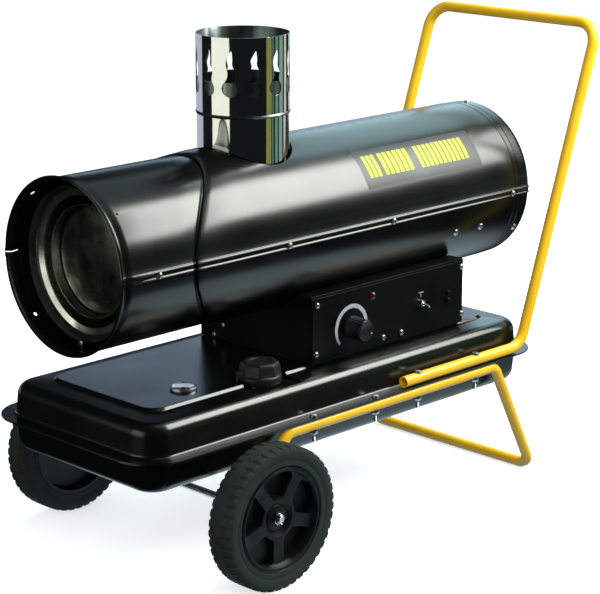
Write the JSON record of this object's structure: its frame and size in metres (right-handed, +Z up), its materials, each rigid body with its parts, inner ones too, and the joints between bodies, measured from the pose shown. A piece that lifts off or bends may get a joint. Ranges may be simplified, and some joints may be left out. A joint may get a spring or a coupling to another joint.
{
  "type": "indirect fired heater",
  "caption": "Wheeled indirect oil-fired air heater: black air tube with flue cowl over a pressed fuel tank, control box, yellow tube handle and leg frame.",
  "frame": {"origin": "on the floor, under the middle of the overall box", "axes": "+X towards the push handle and the air inlet, the air outlet at -X; +Y away from the control panel side; +Z up"},
  "size_m": [1.0662, 0.5352, 0.815],
  "materials": {
    "gloss_black": "gloss black stove enamel on sheet steel",
    "satin_black": "satin black powder coat on sheet steel",
    "yellow_paint": "smooth yellow powder coat on steel tube",
    "stainless": "bright annealed stainless sheet",
    "hot_stainless": "stainless sheet dulled by heat",
    "bright_steel": "bright nickel plate",
    "zinc": "bright zinc plate",
    "tyre": "matt solid rubber tyre",
    "rubber": "smooth fuel-resistant rubber",
    "rim_plastic": "satin black moulded plastic",
    "cap_plastic": "matt dark moulded plastic",
    "aluminium": "cast and sheet aluminium, satin",
    "grey_paint": "grey machine enamel",
    "brass": "turned brass",
    "clear_lens": "clear moulded window",
    "red_plastic": "translucent red plastic",
    "ceramic": "glazed ceramic insulator",
    "board_green": "lacquered circuit board",
    "float_foam": "closed-cell float foam"
  },
  "bodies": {
    "heater": {"tank_upper": "gloss_black", "tank_lower": "gloss_black", "drain_plug": "zinc", "filler_neck": "zinc", "gauge_housing": "aluminium", "gauge_lens": "clear_lens", "leg_frame": "yellow_paint", "push_handle": "yellow_paint", "axle": "zinc", "hub_nut_near": "bright_steel", "hub_nut_far": "bright_steel", "shell_front_upper": "gloss_black", "shell_front_lower": "gloss_black", "shell_main_upper": "gloss_black", "shell_main_lower": "gloss_black", "heat_shield": "hot_stainless", "combustion_drum": "hot_stainless", "drum_front": "hot_stainless", "flue_pipe": "stainless", "flue_cowl": "stainless", "burner_tube": "grey_paint", "flame_disc": "hot_stainless", "nozzle_holder": "brass", "ignition_electrodes": "ceramic", "photocell": "cap_plastic", "fuel_pump": "aluminium", "suction_hose": "rubber", "fuel_pickup": "brass", "fan_motor": "grey_paint", "motor_bracket": "zinc", "rear_guard": "zinc", "control_box": "satin_black", "cable_gland": "cap_plastic", "ignition_transformer": "grey_paint", "control_panel": "satin_black", "thermostat": "aluminium", "indicator_lamp": "red_plastic", "switch_body": "zinc", "control_board": "board_green", "frame_bolt_1": "zinc", "frame_bolt_2": "zinc", "frame_bolt_3": "zinc", "frame_bolt_4": "zinc", "frame_bolt_5": "zinc", "frame_bolt_6": "zinc", "frame_bolt_7": "zinc", "frame_bolt_8": "zinc"},
    "wheel_near": {"tyre_near": "tyre", "rim_near": "rim_plastic"},
    "wheel_far": {"tyre_far": "tyre", "rim_far": "rim_plastic"},
    "rotor": {"motor_shaft": "zinc", "axial_fan": "aluminium", "pump_coupling": "cap_plastic"},
    "knob": {"thermostat_knob": "rim_plastic"},
    "lever": {"switch_lever": "bright_steel"},
    "cap": {"filler_cap": "cap_plastic"},
    "float": {"gauge_arm": "zinc", "gauge_float": "float_foam"},
    "pointer": {"gauge_pointer": "red_plastic"}
  },
  "joints": [
    {"name": "wheel_near_spin", "type": "hinge", "parent": "heater", "child": "wheel_near", "pos_m": [-0.3251, -0.2443, 0.1145], "axis": [0, 1, 0], "continuous": true},
    {"name": "wheel_far_spin", "type": "hinge", "parent": "heater", "child": "wheel_far", "pos_m": [-0.3251, 0.2443, 0.1145], "axis": [0, 1, 0], "continuous": true},
    {"name": "fan_spin", "type": "hinge", "parent": "heater", "child": "rotor", "pos_m": [0.2749, 0, 0.498], "axis": [1, 0, 0], "continuous": true},
    {"name": "thermostat_turn", "type": "hinge", "parent": "heater", "child": "knob", "pos_m": [-0.0341, -0.1323, 0.334], "axis": [0, 1, 0], "range_deg": [-250, 0]},
    {"name": "switch_toggle", "type": "hinge", "parent": "heater", "child": "lever", "pos_m": [0.136, -0.1353, 0.3418], "axis": [-1, 0, 0], "range_deg": [0, 24]},
    {"name": "cap_lift", "type": "slide", "parent": "heater", "child": "cap", "axis": [0, 0, 1], "range_m": [0, 0.06]},
    {"name": "float_swing", "type": "hinge", "parent": "heater", "child": "float", "pos_m": [-0.3518, -0.075, 0.2418], "axis": [1, 0, 0], "range_deg": [0, 62]},
    {"name": "pointer_turn", "type": "hinge", "parent": "heater", "child": "pointer", "pos_m": [-0.3518, -0.075, 0.2885], "axis": [0, 0, -1], "range_deg": [0, 125]}
  ],
  "couplings": [
    {"joint": "pointer_turn", "follows": "float_swing", "ratio": 2}
  ]
}
